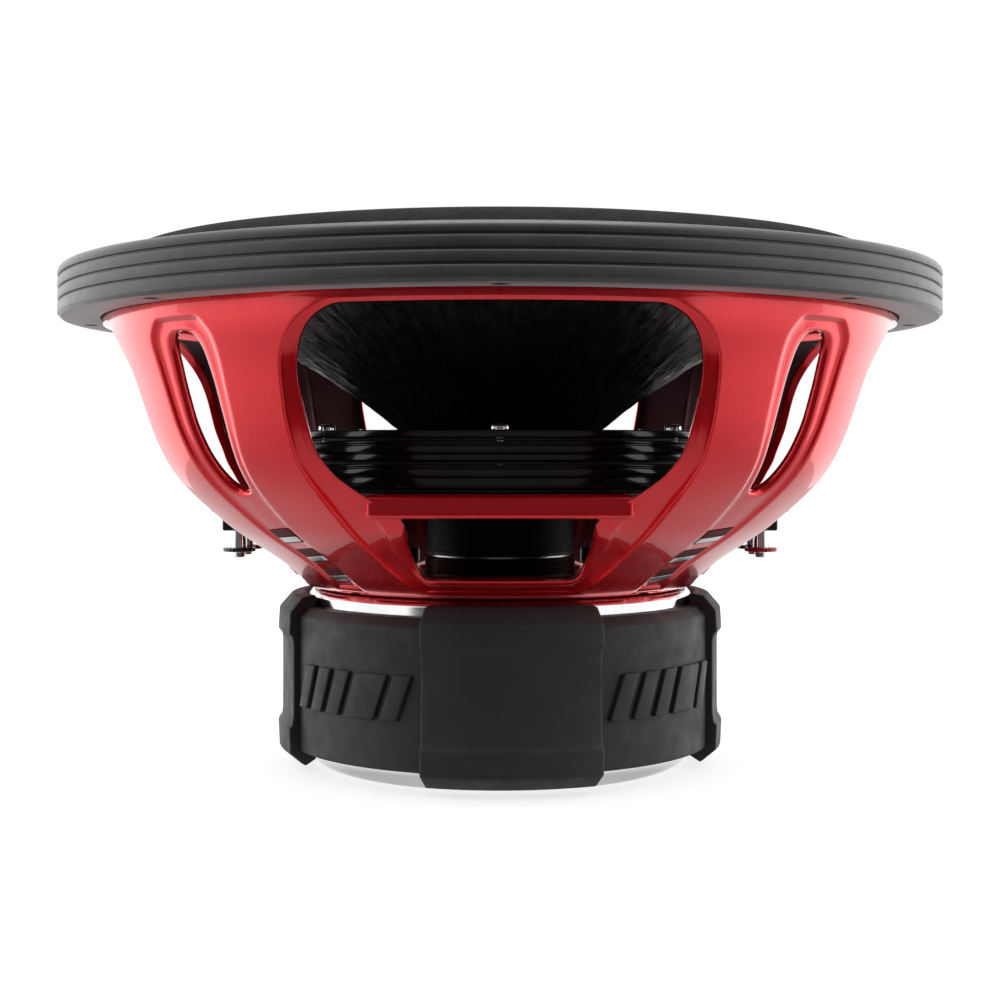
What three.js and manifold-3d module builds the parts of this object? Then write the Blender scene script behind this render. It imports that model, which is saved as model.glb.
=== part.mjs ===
// A 15-inch car subwoofer: cast basket, double ferrite motor with a rubber boot, paper cone and foam surround.
// Millimetres, +Z along the axis towards the cone, z = 0 under the back plate, one window of the basket faces -Y.
import * as THREE from "three";
import { mergeVertices } from "three/addons/utils/BufferGeometryUtils.js";
import Module from "manifold-3d";

const wasm = await Module();
wasm.setup();

// Driving dimensions
const clearance = 0.3; // left between pieces that touch
const largeSteps = 48; // flats round a large ring, a multiple of 8
const smallSteps = 32; // flats round the small and hidden rings
const quarter = Math.PI / 2;

const plateRadius = 87; // back plate and top plate
const backPlateThickness = 10;
const backPlateCorner = 8; // radius of the lower edge
const poleRadius = 30.9;
const poleTop = 78;
const ventRadius = 13;
const magnetRadius = 90;
const magnetBore = 46;
const magnetThickness = 26.7;
const topPlateThickness = 13.9;
const topPlateBore = 35.6;

const formerRadius = 32.2;
const formerWall = 0.45;
const windingRadius = 34.3;
const windingHeight = 42.4;
const collarRadius = 33.1;
const coneThickness = 1.6;
const dustCapRadius = 68;
const dustCapRise = 19.5;
const surroundRadius = 157; // middle of the half roll
const rollRadius = 19;
const rollThickness = 2.5;

const basketWall = 6;
const flangeRadius = 193;
const flangeBottom = 199.5;
const flangeTop = 205;
const shelfBottom = 113.2;
const shelfTop = 122.8;
const shelfBore = 92;
const shelfFace = 124.4; // distance from the axis to the straight face of a shelf bar
const shelfSpan = 52; // half the length of a shelf bar
const mountingHoles = { count: 8, radius: 3, pitchRadius: 187 };
const stackScrews = { count: 8, pitchRadius: 101.5, shank: 1.75, hole: 2.1, headRadius: 3.5 };
const baseScrews = { count: 4, pitchRadius: 62, shank: 3, hole: 3.3, headRadius: 5 };

const gasketRadius = 196;
const gasketBore = 177;
const gasketBottom = 197.3;
const gasketTop = 218.5;

const spacerRadius = 108;
const waistRadius = 104.5;
const spiderThickness = 0.8;
const spiderEdge = 99; // a spider ends inside the circle of screws

const terminalPosts = { distance: 117.6, halfSpacing: 11, barrel: 3.45, bore: 2.9, cap: 2.6, collar: 7.3 };

// Materials
const finish = (color, roughness, metalness) =>
  new THREE.MeshStandardMaterial({ color, roughness, metalness });
const redPaint = () => finish(0xb5141c, 0.18, 0.45);
const rubber = () => finish(0x2b2b2d, 0.75, 0);
const foam = () => finish(0x1f1f21, 0.9, 0);
const paper = () => finish(0x131313, 0.85, 0);
const chrome = () => finish(0xd8dadc, 0.12, 1);
const ferrite = () => finish(0x3a3a3c, 0.8, 0.1);
const blackPlastic = () => finish(0x141415, 0.35, 0);
const redPlastic = () => finish(0xc01218, 0.35, 0);
const fabric = () => finish(0x1a1a1a, 0.95, 0);
const copper = () => finish(0x5a2d1b, 0.4, 0.9);
const aluminium = () => finish(0xc0c2c4, 0.35, 1);

// Solids
function solidOf(geometry) {
  const bare = geometry.clone();
  bare.deleteAttribute("normal");
  bare.deleteAttribute("uv");
  const merged = mergeVertices(bare, 1e-3);
  return new wasm.Manifold(
    new wasm.Mesh({
      numProp: 3,
      vertProperties: merged.attributes.position.array,
      triVerts: new Uint32Array(merged.index.array),
    }),
  );
}

function geometryOf(solid) {
  const mesh = solid.getMesh();
  const geometry = new THREE.BufferGeometry();
  geometry.setAttribute("position", new THREE.BufferAttribute(mesh.vertProperties, 3));
  geometry.setIndex(new THREE.BufferAttribute(mesh.triVerts, 1));
  geometry.computeVertexNormals();
  return geometry;
}

const cut = (solid, cutters) => cutters.reduce((left, cutter) => left.subtract(solidOf(cutter)), solid);
const joined = (solid, pieces) => pieces.reduce((whole, piece) => whole.add(piece), solid);

// A section of [radius, height] points, turned about the axis. It closes on itself, or starts and ends on the axis.
function turned(points, steps = largeSteps) {
  const section = points.map(([r, z]) => new THREE.Vector2(r, z));
  if (THREE.ShapeUtils.isClockWise(section)) section.reverse();
  if (points[0][0] > 0) section.push(section[0].clone());
  return new THREE.LatheGeometry(section, steps).rotateX(quarter);
}

const ring = (inner, outer, bottom, top, steps) =>
  turned([[inner, bottom], [outer, bottom], [outer, top], [inner, top]], steps);

// An outline of [sideways, height] points, pushed outwards through a wall. At angle 0 it faces -Y.
function radialPrism(outline, near, far, angle) {
  const shape = new THREE.Shape(outline.map(([x, z]) => new THREE.Vector2(x, z)));
  const prism = new THREE.ExtrudeGeometry(shape, { depth: far - near, bevelEnabled: false });
  return prism.rotateX(quarter).translate(0, -near, 0).rotateZ(angle);
}

const mirrored = (half) => [...half, ...half.map(([x, z]) => [-x, z]).reverse()];

// A cutter for a hole: the radius is measured to its flats, so a round shank of that radius fits in.
function pin(radius, bottom, top, x, y, steps = 6) {
  const height = top - bottom;
  const corner = radius / Math.cos(Math.PI / steps);
  return new THREE.CylinderGeometry(corner, corner, height, steps)
    .rotateX(quarter)
    .translate(x, y, bottom + height / 2);
}

// The [x, y] places of a circle of fasteners, the first one on -Y.
function boltCircle({ count, pitchRadius }, firstAngle = 0) {
  return Array.from({ length: count }, (_, i) => {
    const angle = firstAngle + (i * 2 * Math.PI) / count;
    return [pitchRadius * Math.sin(angle), -pitchRadius * Math.cos(angle)];
  });
}

const holes = (circle, radius, bottom, top, firstAngle) =>
  boltCircle(circle, firstAngle).map(([x, y]) => pin(radius, bottom, top, x, y));

// Points of an arc from one angle to another, in degrees, both ends included.
function arc(r, z, radius, from, to, steps) {
  return Array.from({ length: steps + 1 }, (_, i) => {
    const angle = ((from + ((to - from) * i) / steps) * Math.PI) / 180;
    return [r + radius * Math.cos(angle), z + radius * Math.sin(angle)];
  });
}

// A wall line moved sideways by a distance, to its left as the line runs.
function offsetLine(points, distance) {
  return points.map(([r, z], i) => {
    const [r0, z0] = points[Math.max(i - 1, 0)];
    const [r1, z1] = points[Math.min(i + 1, points.length - 1)];
    const length = Math.hypot(r1 - r0, z1 - z0);
    return [r - ((z1 - z0) / length) * distance, z + ((r1 - r0) / length) * distance];
  });
}

const group = new THREE.Group();

function addNode(name, geometry, material, parent = group) {
  const mesh = new THREE.Mesh(geometry, material);
  mesh.name = name;
  parent.add(mesh);
  return mesh;
}

// Basket
const basketLine = [
  [93, 84], [105, 93], [126.7, 106], [142.5, 119], [157.8, 136], [165.4, 154], [175.7, 185], [177, 192.5],
];
const windowHalf = [
  [28.8, 87.4], [36, 98], [36, 113], [62.8, 130], [69, 138.5], [75, 168], [73, 181], [66, 190.5], [59, 193],
];
const windowLipHalf = [
  [24.4, 79.6], [33, 82], [57.6, 105], [69.2, 122], [76.4, 134.5], [81.6, 170], [75.8, 184], [69, 190], [59, 193],
];
const channelHalf = [[8.5, 76], [8.5, 97], [15, 130], [18.5, 150], [21, 185], [17, 191]];
const slotHalf = [[5.5, 123], [11, 148], [11, 166], [9, 180], [4.5, 185.6]];
const lipDepth = 3.5;
const channelDepth = 2;
const pocketDepth = 4.5;
const pocketHeights = [92, 102, 112];

function basketShell() {
  const inner = offsetLine(basketLine, basketWall);
  return turned([
    [40, 78.5], [84, 78.5], [89.5, 80.5], ...basketLine,
    [177, flangeBottom], [flangeRadius, flangeBottom], [flangeRadius, flangeTop], [171, flangeTop],
    ...inner.slice(1).reverse(), [87, 86.5], [40, 86.5],
  ]);
}

// Everything outside a surface that runs a depth under the basket's outer face.
function outsideDepth(depth) {
  const line = offsetLine(basketLine, depth);
  const [lowRadius] = line[0];
  return solidOf(turned([
    [lowRadius - 1.5, 76], [lowRadius - 1.5, 81], ...line, [line.at(-1)[0], 196], [200, 196], [200, 76],
  ]));
}

function recesses(outline, depth, angles) {
  const outside = outsideDepth(depth);
  return angles.map((angle) => solidOf(radialPrism(outline, 60, 230, angle)).intersect(outside));
}

// The spider shelf: a ring on the legs, with a straight bar across the foot of each window.
function shelf() {
  const ring = solidOf(turned([
    [shelfBore, shelfBottom], [131, shelfBottom], [138, shelfTop], [shelfBore, shelfTop],
  ]));
  const rounding = 3;
  const outline = (half) => [
    [half - rounding, shelfBottom], [half, shelfBottom + rounding], [half, shelfTop],
  ];
  const gap = [[57, shelfBottom - 1], [57, shelfTop + 1]];
  const angles = [0, 1, 2, 3].map((i) => i * quarter);
  let body = cut(ring, angles.map((angle) => radialPrism(mirrored(gap), 108, 160, angle)));
  for (const angle of angles) {
    body = body.add(solidOf(radialPrism(mirrored(outline(shelfSpan)), 104, shelfFace, angle)));
  }
  return body;
}

function basket() {
  const windows = [0, 1, 2, 3].map((i) => i * quarter);
  const legs = windows.map((angle) => angle + quarter / 2);
  let body = solidOf(basketShell());
  const slanted = (z) => [[-8, z - 4.5], [8, z - 1.5], [8, z + 4.5], [-8, z + 1.5]];
  const cuts = [
    ...recesses(mirrored(windowLipHalf), lipDepth, windows),
    ...recesses(mirrored(channelHalf), channelDepth, legs),
    ...pocketHeights.flatMap((z) => recesses(slanted(z), pocketDepth, legs)),
  ];
  for (const recess of cuts) body = body.subtract(recess);
  body = cut(body, windows.map((angle) => radialPrism(mirrored(windowHalf), 60, 230, angle)));
  body = body.add(shelf());
  body = cut(body, legs.map((angle) => radialPrism(mirrored(slotHalf), 120, 230, angle)));
  return cut(body, [
    ...holes(mountingHoles, mountingHoles.radius, 190, 210),
    ...holes(stackScrews, stackScrews.hole, shelfBottom - 1, shelfTop + 1),
    ...holes(baseScrews, baseScrews.hole, 70, 90, quarter / 2),
  ]);
}

addNode("basket", geometryOf(basket()), redPaint());

// Rim gasket: a rubber ring of C section that wraps the flange and the surround's lip
function rimGasket() {
  const pocket = flangeRadius + clearance;
  const groove = (z) => [[gasketRadius, z - 0.5], [gasketRadius - 1, z], [gasketRadius, z + 0.5]];
  const section = [
    [gasketBore + 1, gasketBottom], [gasketRadius - 1, gasketBottom], [gasketRadius, gasketBottom + 1.2],
    ...[203.6, 208.7, 213.9].flatMap(groove),
    [gasketRadius, gasketTop - 2.5], [gasketRadius - 2.5, gasketTop], [gasketBore + 1.5, gasketTop],
    [gasketBore, gasketTop - 1.5], [gasketBore, flangeTop + 2.3], [pocket, flangeTop + 2.3],
    [pocket, flangeBottom - clearance], [gasketBore + 1, flangeBottom - clearance],
  ];
  return cut(solidOf(turned(section)), holes(mountingHoles, mountingHoles.radius, 190, 230));
}

addNode("rim_gasket", geometryOf(rimGasket()), rubber());

// Cone, dust cap and surround
const coneBack = [[33.5, 139], [46.3, 149.4], [65.1, 164.1], [91.7, 180.9], [138, 206]];

function cone() {
  const front = offsetLine(coneBack, coneThickness);
  front[0][0] = coneBack[0][0];
  return turned([...coneBack, ...front.reverse()]);
}

function dustCap() {
  const edge = 168.6;
  const thickness = 1.2;
  const dome = (dustCapRadius ** 2 + dustCapRise ** 2) / (2 * dustCapRise);
  const middle = edge + dustCapRise - dome;
  const halfAngle = (Math.asin(dustCapRadius / dome) * 180) / Math.PI;
  const outer = arc(0, middle, dome, 90 - halfAngle, 90, 4);
  const inner = arc(0, middle, dome - thickness, 90, 90 - halfAngle, 3);
  outer[outer.length - 1][0] = 0;
  inner[0][0] = 0;
  return turned([...inner, ...outer], smallSteps);
}

function surround() {
  const level = 209.2; // middle plane of the half roll
  const lipTop = flangeTop + 2;
  const outer = arc(surroundRadius, level, rollRadius, 0, 180, 6);
  const inner = arc(surroundRadius, level, rollRadius - rollThickness, 180, 0, 6);
  const section = [
    ...outer, [126, 203.4], [126, 201.9], [139.2, 209], ...inner,
    [173.5, flangeTop + clearance], [183, flangeTop + clearance], [183, lipTop], [176, lipTop],
  ];
  return turned(section);
}

addNode("cone", cone(), paper());
addNode("dust_cap", dustCap(), paper());
addNode("surround", surround(), foam());

// Voice coil
const windingMiddle = 71; // half way up the top plate
addNode("voice_coil_former", ring(formerRadius - formerWall, formerRadius, 49.4, 140, smallSteps), aluminium());
addNode(
  "voice_coil_winding",
  ring(
    formerRadius + clearance, windingRadius,
    windingMiddle - windingHeight / 2, windingMiddle + windingHeight / 2, smallSteps,
  ),
  copper(),
);
addNode("former_collar", ring(formerRadius + clearance, collarRadius, 93, 138.6, smallSteps), blackPlastic());

// Spider stack, from the shelf upwards
const stack = {
  lowerSpider: shelfTop + clearance,
  lowerSpacer: 124.2,
  middleSpider: 134.3,
  upperSpacer: 135.4,
  upperSpider: 143.7,
  clampRing: 144.8,
  top: 148,
};

// A disc of woven cloth: flat where it is clamped, then waves, and a neck at its own height on the coil's collar.
function spider(lipHeight, neckHeight) {
  const neck = collarRadius + clearance;
  const waves = [[86, 1.6], [70, -1.6], [56, 0.8]];
  const line = [
    [neck, neckHeight], [neck + 5, neckHeight + (lipHeight - neckHeight) * 0.3],
    ...waves.map(([r, rise]) => [r, lipHeight + rise]).reverse(), [93, lipHeight], [spiderEdge, lipHeight],
  ];
  const upper = line.map(([r, z]) => [r, z + spiderThickness]).reverse();
  return turned([...line, ...upper], smallSteps);
}

function spacer(bottom, waist, top) {
  const section = [
    [94, bottom], [waistRadius, bottom], [waistRadius, waist], [spacerRadius, waist], [spacerRadius, top], [94, top],
  ];
  const whole = solidOf(turned(section, smallSteps));
  return geometryOf(cut(whole, holes(stackScrews, stackScrews.hole, bottom - 1, top + 1)));
}

addNode("spider_lower", spider(stack.lowerSpider, stack.lowerSpider), fabric());
addNode("spider_spacer_lower", spacer(stack.lowerSpacer, 129.6, 134), blackPlastic());
addNode("spider_middle", spider(stack.middleSpider, 129.5), fabric());
addNode("spider_spacer_upper", spacer(stack.upperSpacer, 139, 143.4), blackPlastic());
addNode("spider_upper", spider(stack.upperSpider, 136.2), fabric());

const clampSection = [
  [94, stack.clampRing], [spacerRadius, stack.clampRing], [spacerRadius, stack.top - 1],
  [spacerRadius - 1, stack.top], [94, stack.top],
];
const clampHoles = holes(stackScrews, stackScrews.hole, stack.clampRing - 1, stack.top + 1);
addNode("spider_clamp_ring", geometryOf(cut(solidOf(turned(clampSection, smallSteps)), clampHoles)), blackPlastic());

// Screws: a domed or flat head above a shank, with a cross or hexagon recess
function screw({ shank, headRadius }, tip, seat, headHeight, recess) {
  const profile = [
    [0, tip], [shank, tip], [shank, seat], [headRadius, seat],
    [headRadius, seat + headHeight * 0.55], [headRadius * 0.72, seat + headHeight], [0, seat + headHeight],
  ];
  return cut(solidOf(turned(profile, 8)), recess);
}

function crossRecess(top, depth) {
  const bar = (length, width) => new THREE.BoxGeometry(length, width, depth * 2).translate(0, 0, top);
  return [bar(3.6, 0.8), bar(0.8, 3.6)];
}

const hexRecess = (top, depth) => [pin(2.6, top - depth, top + 1, 0, 0, 6)];

boltCircle(stackScrews).forEach(([x, y], i) => {
  const seat = stack.top + clearance;
  const pan = screw(stackScrews, shelfBottom + 2, seat, 2.4, crossRecess(seat + 2.4, 1.2));
  addNode("spacer_screw_" + (i + 1), geometryOf(pan), chrome()).position.set(x, y, 0);
});

boltCircle(baseScrews, quarter / 2).forEach(([x, y], i) => {
  const seat = 86.5 + clearance;
  const cap = screw(baseScrews, 68, seat, 6, hexRecess(seat + 6, 3));
  addNode("basket_screw_" + (i + 1), geometryOf(cap), blackPlastic()).position.set(x, y, 0);
});

// Motor
function yoke() {
  const corner = arc(plateRadius - backPlateCorner, backPlateCorner, backPlateCorner, -90, 0, 3);
  return turned([
    [ventRadius + 4, 0], ...corner, [plateRadius, backPlateThickness], [poleRadius, backPlateThickness],
    [poleRadius, poleTop - 1], [poleRadius - 1, poleTop], [ventRadius + 3, poleTop], [ventRadius, poleTop - 8],
    [ventRadius, 7],
  ], smallSteps);
}

const lowerMagnetBottom = backPlateThickness + clearance;
const upperMagnetBottom = lowerMagnetBottom + magnetThickness + clearance;
const topPlateBottom = upperMagnetBottom + magnetThickness + clearance;
const topPlateTop = topPlateBottom + topPlateThickness;

function topPlate() {
  const chamfer = 2.5;
  const plate = turned([
    [topPlateBore, topPlateBottom], [plateRadius, topPlateBottom], [plateRadius, topPlateTop - chamfer],
    [plateRadius - chamfer, topPlateTop], [topPlateBore, topPlateTop],
  ], smallSteps);
  return cut(solidOf(plate), holes(baseScrews, baseScrews.hole, topPlateBottom + 2, topPlateTop + 1, quarter / 2));
}

addNode("yoke", yoke(), chrome());
addNode(
  "magnet_lower",
  ring(magnetBore, magnetRadius, lowerMagnetBottom, lowerMagnetBottom + magnetThickness, smallSteps),
  ferrite(),
);
addNode(
  "magnet_upper",
  ring(magnetBore, magnetRadius, upperMagnetBottom, upperMagnetBottom + magnetThickness, smallSteps),
  ferrite(),
);
addNode("shorting_ring", ring(poleRadius + 6, magnetBore - 1, lowerMagnetBottom, 30, smallSteps), aluminium());
addNode("top_plate", geometryOf(topPlate()), chrome());

// Magnet boot: a rubber sleeve with four raised panels and a badge of slanted bars between them
const bootTurn = (3 * Math.PI) / 180;
const bootSteps = 40;
const bootBore = [[magnetRadius + 0.4, 10], [magnetRadius + 0.4, topPlateBottom - 0.2], [plateRadius + 0.3, topPlateBottom + 3]];

function bootSleeve() {
  return solidOf(turned([
    [plateRadius + 0.3, 8.9], [94.6, 8.9], [95.6, 9.9], [95.6, 67.6], [91.6, 71.6], [plateRadius + 0.3, 71.6],
    ...bootBore.slice().reverse(),
  ], bootSteps));
}

function bootPanels() {
  const section = solidOf(turned([
    [plateRadius + 0.6, 5.5], [93, 2.7], [100.3, 8.6], [100.3, 19.4], [98.3, 25], [98.3, 57], [100.3, 59.9],
    [100.3, 69.8], [94.5, 76.1], [88.7, 77], [plateRadius + 0.3, 75], ...bootBore.slice().reverse(),
  ], bootSteps));
  const reach = 130;
  const halfWidth = reach * Math.tan((22 * Math.PI) / 180);
  const wedge = new THREE.Shape([
    new THREE.Vector2(0, 0), new THREE.Vector2(-halfWidth, -reach), new THREE.Vector2(halfWidth, -reach),
  ]);
  return [0, 1, 2, 3].map((i) => {
    const sector = new THREE.ExtrudeGeometry(wedge, { depth: 90, bevelEnabled: false });
    return section.intersect(solidOf(sector.rotateZ(i * quarter + bootTurn)));
  });
}

function bootBadges() {
  const raised = solidOf(ring(94, 97.6, 20, 60, bootSteps));
  const bar = (x) => [[x - 9, 29], [x - 1, 29], [x + 9, 49], [x + 1, 49]];
  return [0, 1, 2, 3].flatMap((i) =>
    [-22, -7.5, 7.5, 22].map((x) => {
      const angle = (i + 0.5) * quarter + bootTurn;
      return solidOf(radialPrism(bar(x), 70, 110, angle)).intersect(raised);
    }),
  );
}

addNode("magnet_boot", geometryOf(joined(bootSleeve(), [...bootPanels(), ...bootBadges()])), rubber());

// Terminals: on each side a block under the shelf bar holds two spring-loaded push posts that point down
const block = { inner: 106, outer: 124, halfWidth: 20, bottom: 104, top: shelfBottom - clearance };
const barrel = { bottom: 94, top: 111.5, roof: 1.5 };
const pushCap = { bottom: 91.6, top: 99.9, travel: 2.5 };

function terminalBlock() {
  const { inner, outer, halfWidth, bottom, top } = block;
  const box = new THREE.BoxGeometry(outer - inner, 2 * halfWidth, top - bottom);
  box.translate((inner + outer) / 2, 0, (bottom + top) / 2);
  const bore = (y) =>
    pin(terminalPosts.barrel + clearance, bottom - 1, barrel.top + clearance, terminalPosts.distance, y, 10);
  return cut(solidOf(box), [bore(terminalPosts.halfSpacing), bore(-terminalPosts.halfSpacing)]);
}

// A hole across a post for the wire, open towards the outside.
const wireHole = (radius, height) =>
  new THREE.CylinderGeometry(radius, radius, 12, 6).rotateZ(quarter).translate(0, 0, height);

function postBarrel() {
  const { barrel: outer, bore } = terminalPosts;
  const cup = turned([
    [0, barrel.top - barrel.roof], [bore, barrel.top - barrel.roof], [bore, barrel.bottom], [outer, barrel.bottom],
    [outer, barrel.top], [0, barrel.top],
  ], 10);
  return cut(solidOf(cup), [wireHole(1.2, 98.4)]);
}

function postCap() {
  const radius = terminalPosts.cap;
  const plunger = turned([
    [0, pushCap.bottom], [radius - 0.8, pushCap.bottom], [radius, pushCap.bottom + 0.8], [radius, pushCap.top],
    [0, pushCap.top],
  ], 10);
  return cut(solidOf(plunger), [wireHole(1.1, 98.4 - pushCap.travel)]);
}

function postSpring() {
  const bottom = pushCap.top + 0.7;
  const top = barrel.top - barrel.roof - 0.7;
  const turns = 4;
  const steps = turns * 6;
  const path = Array.from({ length: steps + 1 }, (_, i) => {
    const angle = (i / steps) * turns * 2 * Math.PI;
    return new THREE.Vector3(2.2 * Math.cos(angle), 2.2 * Math.sin(angle), bottom + ((top - bottom) * i) / steps);
  });
  const wire = new THREE.Shape().absellipse(0, 0, 0.35, 0.35, 0, 2 * Math.PI, false, 0);
  return new THREE.ExtrudeGeometry(wire, {
    extrudePath: new THREE.CatmullRomCurve3(path), steps, curveSegments: 2, bevelEnabled: false,
  });
}

const collarSection = [[terminalPosts.barrel + clearance, 94.4], [terminalPosts.collar, 94.4],
  [terminalPosts.collar, 96.2], [terminalPosts.barrel + clearance, 96.2]];

// A braided lead from the block to the coil's collar, slack enough for the stroke.
function tinselLead(y) {
  const start = block.inner - clearance;
  const route = new THREE.CatmullRomCurve3([
    new THREE.Vector3(start, y, 109), new THREE.Vector3(start - 12, y, 109.4),
    new THREE.Vector3(80, y, 108.6), new THREE.Vector3(58, y, 111), new THREE.Vector3(43, y * 0.9, 116),
    new THREE.Vector3(34.6, y * 0.85, 117),
  ]);
  const section = new THREE.Shape().absellipse(0, 0, 1.2, 1.2, 0, 2 * Math.PI, false, 0);
  return new THREE.ExtrudeGeometry(section, {
    extrudePath: route, steps: 8, curveSegments: 4, bevelEnabled: false,
  });
}

["right", "left"].forEach((side, sideIndex) => {
  const half = new THREE.Group();
  half.rotation.z = sideIndex * Math.PI;
  group.add(half);
  addNode("terminal_block_" + side, geometryOf(terminalBlock()), blackPlastic(), half);
  [-1, 1].forEach((direction, i) => {
    const number = sideIndex * 2 + i + 1;
    const y = direction * terminalPosts.halfSpacing;
    const post = new THREE.Group();
    post.position.set(terminalPosts.distance, y, 0);
    half.add(post);
    addNode("terminal_barrel_" + number, geometryOf(postBarrel()), chrome(), post);
    addNode("terminal_cap_" + number, geometryOf(postCap()), chrome(), post);
    addNode("terminal_spring_" + number, postSpring(), aluminium(), post);
    const colour = direction < 0 ? redPlastic() : blackPlastic();
    addNode("terminal_collar_" + number, turned(collarSection, 14), colour, post);
    addNode("tinsel_lead_" + number, tinselLead(y), copper(), half);
  });
});

export default group;
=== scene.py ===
# Car subwoofer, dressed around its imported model
import bpy
from math import asin, atan2, cos, degrees, hypot, pi, radians, sin, sqrt
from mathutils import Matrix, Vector, noise
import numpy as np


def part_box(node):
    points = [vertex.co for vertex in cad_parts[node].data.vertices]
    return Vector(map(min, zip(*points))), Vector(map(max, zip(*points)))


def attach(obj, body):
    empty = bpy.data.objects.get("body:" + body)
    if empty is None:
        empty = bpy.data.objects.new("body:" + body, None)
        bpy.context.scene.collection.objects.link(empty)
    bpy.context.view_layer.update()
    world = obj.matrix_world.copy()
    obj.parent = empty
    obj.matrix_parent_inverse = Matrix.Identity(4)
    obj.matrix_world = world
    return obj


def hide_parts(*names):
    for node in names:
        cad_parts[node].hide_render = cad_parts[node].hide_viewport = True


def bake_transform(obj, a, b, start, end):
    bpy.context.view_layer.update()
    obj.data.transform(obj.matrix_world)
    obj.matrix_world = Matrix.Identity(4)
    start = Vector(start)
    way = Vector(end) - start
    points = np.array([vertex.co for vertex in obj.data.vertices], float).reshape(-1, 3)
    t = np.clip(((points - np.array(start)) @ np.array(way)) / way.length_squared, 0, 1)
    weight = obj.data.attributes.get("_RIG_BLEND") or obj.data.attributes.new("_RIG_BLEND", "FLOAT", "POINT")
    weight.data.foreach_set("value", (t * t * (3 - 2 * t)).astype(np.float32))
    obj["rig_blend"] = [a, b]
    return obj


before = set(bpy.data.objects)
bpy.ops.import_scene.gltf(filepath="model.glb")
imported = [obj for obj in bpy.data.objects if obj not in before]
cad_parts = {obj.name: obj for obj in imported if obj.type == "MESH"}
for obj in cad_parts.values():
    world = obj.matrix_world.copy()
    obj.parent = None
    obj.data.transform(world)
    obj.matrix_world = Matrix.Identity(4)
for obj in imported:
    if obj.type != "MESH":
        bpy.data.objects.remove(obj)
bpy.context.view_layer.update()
frameBody = "basket_and_motor"
coneBody = "cone_assembly"
mm = 0.001


def nodeBox(name):  # lowest and highest corner of a node, in millimetres
    low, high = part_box(name)
    return [v / mm for v in low], [v / mm for v in high]


def reach(name):  # largest radius, lowest and highest point of a ring
    low, high = nodeBox(name)
    return high[0], low[2], high[2]


def middleOf(name):  # a node's middle, seen along the speaker's axis
    low, high = nodeBox(name)
    return (low[0] + high[0]) / 2, (low[1] + high[1]) / 2


# modelling helpers

def deselectAll():
    if bpy.context.object and bpy.context.object.mode != "OBJECT":
        bpy.ops.object.mode_set(mode="OBJECT")
    bpy.ops.object.select_all(action="DESELECT")


def makeActive(piece):
    deselectAll()
    piece.select_set(True)
    bpy.context.view_layer.objects.active = piece


def named(piece, name):
    piece.name = name
    piece.data.name = name
    return piece


def setPlace(piece):  # leave the object at the origin, its place in its mesh
    makeActive(piece)
    bpy.ops.object.transform_apply(location=True, rotation=True, scale=True)
    return piece


def smooth(piece, angle=35):
    makeActive(piece)
    bpy.ops.object.shade_smooth_by_angle(angle=radians(angle))
    return piece


def closeUp(piece):  # merge the seam and poles, and turn the faces outwards
    makeActive(piece)
    bpy.ops.object.mode_set(mode="EDIT")
    bpy.ops.mesh.select_all(action="SELECT")
    bpy.ops.mesh.remove_doubles(threshold=2e-6)
    bpy.ops.mesh.delete_loose()
    bpy.ops.mesh.select_all(action="SELECT")
    bpy.ops.mesh.normals_make_consistent(inside=False)
    bpy.ops.object.mode_set(mode="OBJECT")
    return piece


def applyAll(piece):
    makeActive(piece)
    for modifier in list(piece.modifiers):
        bpy.ops.object.modifier_apply(modifier=modifier.name)
    return piece


def bevelled(piece, width, segments=2, angle=30):  # width in millimetres
    bevel = piece.modifiers.new("edges", "BEVEL")
    bevel.width = width * mm
    bevel.segments = segments
    bevel.limit_method = "ANGLE"
    bevel.angle_limit = radians(angle)
    bevel.use_clamp_overlap = True
    return applyAll(piece)


def spun(name, section, steps=192, angle=360, start=0):
    # a closed section of (radius, height) points in millimetres, spun about the axis
    deselectAll()
    bpy.ops.mesh.primitive_circle_add(vertices=len(section), radius=10 * mm)
    piece = named(bpy.context.object, name)
    turn = radians(start)
    for vertex, (r, z) in zip(piece.data.vertices, section):
        vertex.co = (r * cos(turn) * mm, r * sin(turn) * mm, z * mm)
    bpy.ops.object.mode_set(mode="EDIT")
    bpy.ops.mesh.select_all(action="SELECT")
    bpy.ops.mesh.spin(steps=steps, angle=radians(angle), center=(0, 0, 0), axis=(0, 0, -1))
    if angle < 360:
        bpy.ops.mesh.select_all(action="SELECT")
        bpy.ops.mesh.fill_holes(sides=0)
    bpy.ops.object.mode_set(mode="OBJECT")
    return closeUp(piece)


def arcPoints(r, z, radius, first, last, steps):
    turns = [radians(first + (last - first) * i / steps) for i in range(steps + 1)]
    return [(r + radius * cos(t), z + radius * sin(t)) for t in turns]


def block(name, size, place, bevelWidth=0.5, turn=0):  # a bevelled box, in millimetres
    deselectAll()
    bpy.ops.mesh.primitive_cube_add(size=1, location=[v * mm for v in place])
    piece = named(bpy.context.object, name)
    piece.scale = [v * mm for v in size]
    setPlace(piece)
    bevelled(piece, bevelWidth, 3)
    return turned(piece, turn)


def turned(piece, turn):  # about the speaker's axis, in degrees
    piece.rotation_euler = (0, 0, radians(turn))
    return setPlace(piece)


def moved(piece, x, y):
    piece.location = (x * mm, y * mm, 0)
    return setPlace(piece)


def rod(name, radius, low, high, x=0, y=0, sides=32):
    deselectAll()
    middle = (x * mm, y * mm, (low + high) / 2 * mm)
    bpy.ops.mesh.primitive_cylinder_add(vertices=sides, radius=radius * mm, depth=(high - low) * mm,
                                        location=middle)
    return setPlace(named(bpy.context.object, name))


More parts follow.
